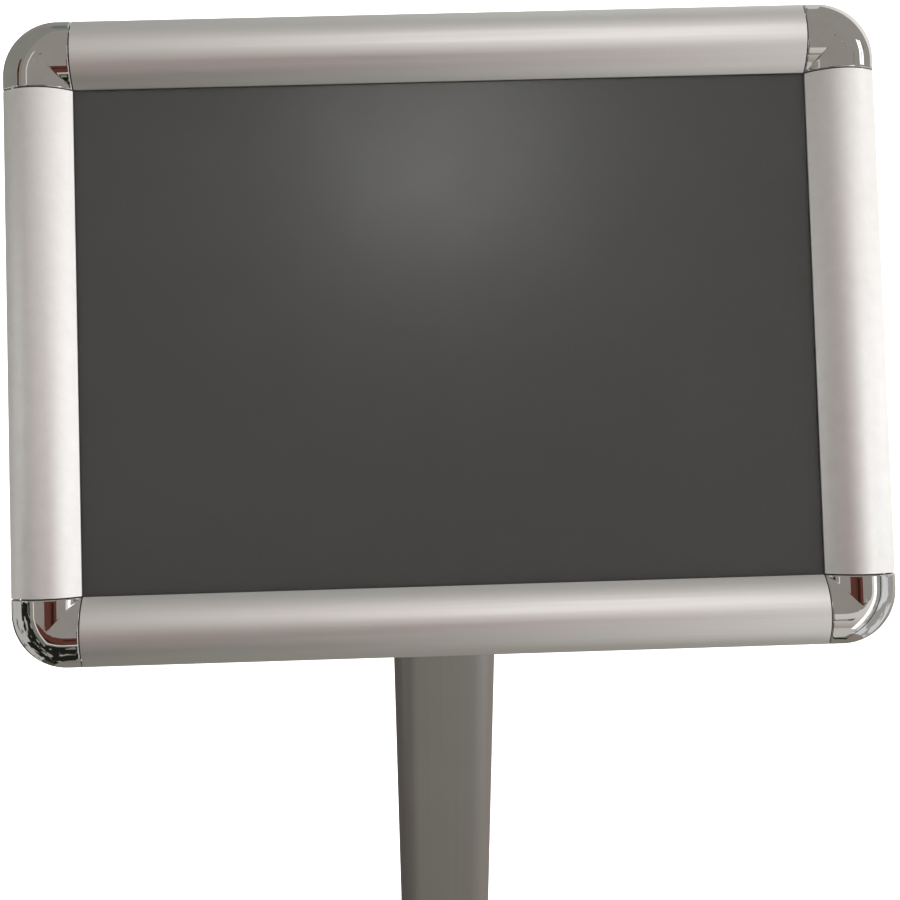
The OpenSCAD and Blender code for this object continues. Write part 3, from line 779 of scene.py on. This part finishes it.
# What the chrome mirrors: a quiet grey room with a low wooden table, a dark floor under it,
# and tall window panes on both sides. The first card is the farthest.
WOOD, DARK, PALE = (0.17, 0.06, 0.045), (0.02, 0.022, 0.018), (0.75, 0.73, 0.70)
WOOD_GRAIN = ((0.05, 0.02, 0.015), 0.5, 0.45)
GREY, PANE = (0.44, 0.41, 0.385), (1.0, 1.02, 1.06)
CARDS = [
    ("floor", (-90, 90), (-90, -60), (0.33, 0.32, 0.28), 1, ((0.24, 0.23, 0.20), 0.5, 0.4)),
    ("far_left", (-90, -64), (-50, 8), (0.74, 0.73, 0.71), 1, ((0.18, 0.175, 0.16), 0.35, 0.4)),
    ("wall_left", (-90, -40), (8, 66), (0.36, 0.36, 0.325), 1, ((0.60, 0.58, 0.52), 0.9, 0.35)),
    ("wall_right", (32, 90), (6, 66), (0.44, 0.42, 0.395), 1, ((0.34, 0.33, 0.31), 0.9, 0.4)),
    ("window_wall", (44, 90), (-50, 6), (1.0, 1.01, 1.03), 1, ((0.50, 0.50, 0.50), 1.2, 0.5)),
    ("room", (-42, 34), (-12, 62), GREY, 1),
    ("table", (-34, 14), (-27, -13), WOOD, 1, WOOD_GRAIN),
    ("table_leg", (-12, 14), (-14, 0), WOOD, 1, WOOD_GRAIN),
    ("table_side", (-36.5, -34.5), (-28, 2), PALE, 1.5),
    ("table_front", (-36.5, 16), (-28.8, -27.3), PALE, 1.5),
    ("under_table", (-74, 6), (-60, -31), DARK, 1, ((0.5, 0.48, 0.42), 0.3, 0.42)),
    ("left_dark", (-64, -44), (-34, 4), DARK, 1, ((0.6, 0.59, 0.56), 0.25, 0.45)),
    ("left_pane", (-62, -58), (0, 9), PANE, 3),
    ("left_pane_near", (-55, -51), (0, 9), PANE, 3),
    ("left_post", (-53, -48.5), (10, 30), WOOD, 1, WOOD_GRAIN),
    ("left_strip", (-33, -30.5), (12, 30), PALE, 1.3),
    ("left_lamp", (-1, 4), (24, 30), PALE, 1.3),
    ("right_floor", (8, 48), (-58, -40), (0.80, 0.78, 0.74), 1, (GREY, 0.5, 0.3)),
    ("right_things", (6, 32), (-26, -23), (0.10, 0.095, 0.085), 1, (GREY, 0.16, 0.5)),
    ("right_strip", (39, 45), (-42, 4), PANE, 2.2),
    ("right_frame", (53, 55), (-60, 6), DARK, 1),
    ("right_pane", (60, 64), (17, 29), PANE, 3),
    ("right_pane_far", (66, 70), (17, 29), PANE, 2.6),
    ("skirting", (2, 60), (-61, -58.5), DARK, 1),
    ("beam", (-70, 70), (66, 72), (0.20, 0.27, 0.30), 1),
]
for order, spec in enumerate(CARDS):
    card(FARTHEST_CARD - CARD_GAP * order, *spec)

# ---------------------------------------------------------------- camera

# Where the camera stands, from the sign's centre on the rails' back plane, along the sign's
# directions; and how it is turned from looking square at the sign
CAMERA_OFFSET = Vector((-22.2, -45.7, 415.5)) * MM
CAMERA_PITCH, CAMERA_YAW, CAMERA_ROLL = (math.radians(a) for a in (2.01, -0.81, -1.62))
SENSOR_WIDTH, CAMERA_LENS = 36, 44.0  # millimetres
CAMERA_SHIFT = (0.0484, -0.0377)

data = bpy.data.cameras.new("camera")
data.sensor_width = SENSOR_WIDTH
data.lens = CAMERA_LENS
data.shift_x, data.shift_y = CAMERA_SHIFT
data.clip_start, data.clip_end = 0.02, 50
camera = bpy.data.objects.new("camera", data)
facing = (
    SIGN
    @ Matrix.Rotation(CAMERA_PITCH, 3, "X")
    @ Matrix.Rotation(CAMERA_YAW, 3, "Y")
    @ Matrix.Rotation(CAMERA_ROLL, 3, "Z")
)
eye = SIGN @ (SIGN_MIDDLE + CAMERA_OFFSET)
camera.matrix_world = Matrix.Translation(eye) @ facing.to_4x4()
bpy.context.scene.collection.objects.link(camera)
bpy.context.scene.camera = camera
bpy.context.scene.view_settings.view_transform = "Standard"
